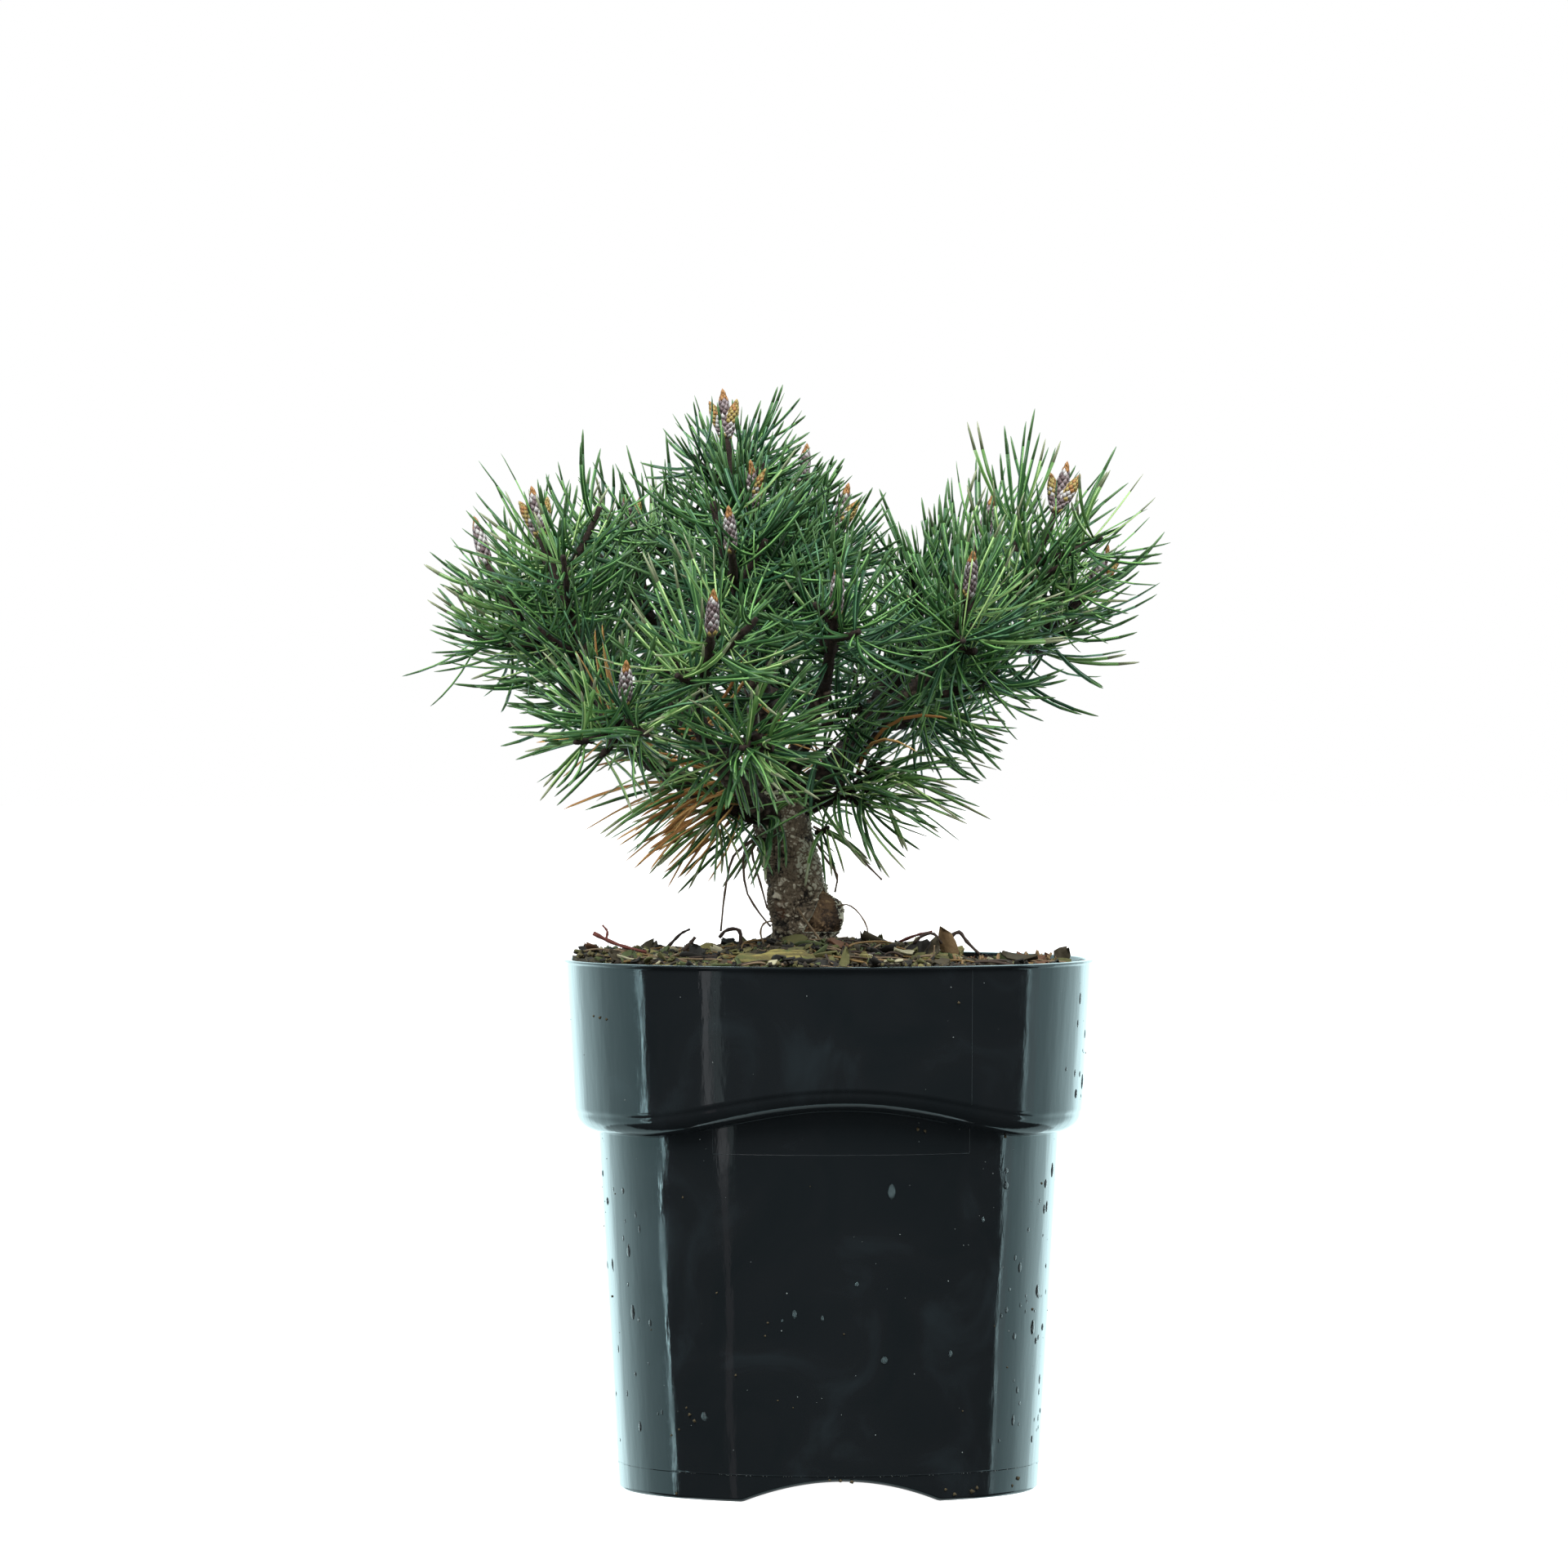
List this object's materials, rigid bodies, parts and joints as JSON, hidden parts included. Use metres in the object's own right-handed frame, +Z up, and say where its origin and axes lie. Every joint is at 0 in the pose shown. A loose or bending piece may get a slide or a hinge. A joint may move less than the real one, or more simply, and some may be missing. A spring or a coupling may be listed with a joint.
{
  "type": "potted dwarf mountain pine",
  "caption": "Young dwarf mountain pine with a short bare trunk and a wide open crown of long needles, in a round tapered plastic nursery pot filled with soil.",
  "frame": {"origin": "middle of the underside of the whole plant's box, on the surface that the pot stands on", "axes": "+Z up along the trunk, -Y towards the viewer of the picture, +X to the viewer's right"},
  "size_m": [0.249, 0.245, 0.3568],
  "materials": {
    "pot_plastic": "glossy dark blue-grey moulded plastic",
    "compost": "rough moist potting compost",
    "bark": "rough scaly bark",
    "needles": "semi-gloss evergreen needles",
    "bark_chips": "dry bark chips"
  },
  "bodies": {
    "root": {"pot": "pot_plastic", "soil": "compost", "trunk": "bark", "leader": "bark", "bough_right": "bark", "bough_left": "bark", "bough_front": "bark", "bough_front_right": "bark", "bough_back_left": "bark", "bough_back": "bark", "bough_back_right": "bark", "needles_low_right": "needles", "needles_low_left": "needles", "needles_low_back": "needles", "needles_top": "needles", "needles_top_back": "needles", "needles_top_right": "needles", "needles_top_front": "needles", "needles_high_front": "needles", "needles_right_upper": "needles", "needles_right_front": "needles", "needles_right_far": "needles", "needles_right_low": "needles", "needles_left_upper": "needles", "needles_left_far": "needles", "needles_left_low": "needles", "needles_left_front": "needles", "needles_front": "needles", "needles_front_low": "needles", "needles_centre_right": "needles", "needles_back_left_upper": "needles", "needles_back_left": "needles", "needles_back_left_low": "needles", "needles_back": "needles", "needles_back_low": "needles", "needles_back_right_upper": "needles", "needles_back_right": "needles", "needles_back_right_low": "needles", "bark_chip_1": "bark_chips", "bark_chip_2": "bark_chips", "bark_chip_3": "bark_chips", "bark_chip_4": "bark_chips", "bark_chip_5": "bark_chips", "bark_chip_6": "bark_chips"}
  },
  "joints": []
}
